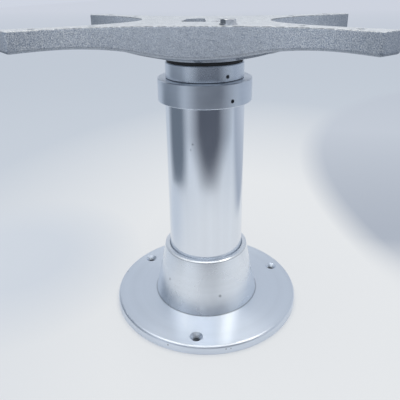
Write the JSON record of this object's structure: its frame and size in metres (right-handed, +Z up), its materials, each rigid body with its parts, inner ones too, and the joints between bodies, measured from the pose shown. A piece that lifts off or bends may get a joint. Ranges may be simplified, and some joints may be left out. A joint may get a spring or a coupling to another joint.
{
  "type": "electric table pedestal",
  "caption": "Telescopic electric table pedestal: round floor plate, tapered foot, polished tube, collars and a cast four-arm spider for the table.",
  "frame": {"origin": "on the floor, at the centre of the round floor plate", "axes": "+Z up along the tubes, -Y to the front, where one floor hole lies; X along the longer side of the spider"},
  "size_m": [0.3388, 0.2734, 0.3514],
  "materials": {
    "satin_plate": "satin turned",
    "satin_cone": "satin turned",
    "satin_collar": "satin turned",
    "satin_ring": "satin turned",
    "satin_tube": "satin anodised",
    "polished_tube": "polished and anodised",
    "cast_spider": "rough sand cast",
    "turned_aluminium": "turned",
    "white_plastic": "moulded",
    "black_rubber": "matte",
    "bronze": "turned",
    "black_paint": "semi gloss",
    "zinc_steel": "zinc plated",
    "steel": "ground"
  },
  "bodies": {
    "base": {"base_plate": "satin_plate", "base_cone": "satin_cone", "cone_screws": "steel", "outer_tube": "polished_tube", "foot_ring": "turned_aluminium", "foot_ring_screws": "steel", "collar": "satin_collar", "collar_screws": "steel", "collar_bush": "white_plastic", "standing_screw": "steel", "standing_screw_bolts": "steel"},
    "middle": {"middle_tube": "satin_tube", "foot_plate": "turned_aluminium", "foot_plate_screws": "steel", "middle_glide": "white_plastic", "lower_race": "steel", "bearing_cage": "bronze", "bearing_balls": "steel", "circlip": "steel", "upper_ring": "satin_ring", "ring_screws": "steel", "ring_bush": "white_plastic", "buffer_ring": "black_rubber"},
    "lift_screw": {"lift_screw": "steel", "lower_nut": "bronze", "drive_cap": "steel", "upper_race": "steel"},
    "drive_shaft": {"drive_shaft": "steel", "output_spindle": "steel"},
    "top": {"inner_tube": "satin_tube", "inner_glide": "white_plastic", "nut_carrier": "turned_aluminium", "carrier_screws": "steel", "lift_nut": "bronze", "nut_screws": "steel", "motor_mount": "turned_aluminium", "mount_screws": "steel", "gearbox": "zinc_steel", "gearbox_screws": "steel", "motor": "black_paint", "tube_cap": "turned_aluminium", "cap_screws": "steel", "cable_grommet": "black_rubber", "spider": "cast_spider", "hub_screws": "zinc_steel", "top_bolt": "zinc_steel", "top_washer": "zinc_steel", "top_nut": "zinc_steel"}
  },
  "joints": [
    {"name": "middle_slide", "type": "slide", "parent": "base", "child": "middle", "axis": [0, 0, 1], "range_m": [0, 0.17]},
    {"name": "top_slide", "type": "slide", "parent": "middle", "child": "top", "axis": [0, 0, 1], "range_m": [0, 0.17]},
    {"name": "screw_spin", "type": "hinge", "parent": "middle", "child": "lift_screw", "pos_m": [0, 0, 0.1], "axis": [0, 0, 1], "range_deg": [0, 6121]},
    {"name": "shaft_spin", "type": "hinge", "parent": "top", "child": "drive_shaft", "pos_m": [0, 0, 0.2], "axis": [0, 0, 1], "range_deg": [0, 6121]}
  ],
  "couplings": [
    {"joint": "top_slide", "follows": "middle_slide", "ratio": 1},
    {"joint": "screw_spin", "follows": "middle_slide", "rad_per_m": 628.32},
    {"joint": "shaft_spin", "follows": "middle_slide", "rad_per_m": 628.32}
  ]
}
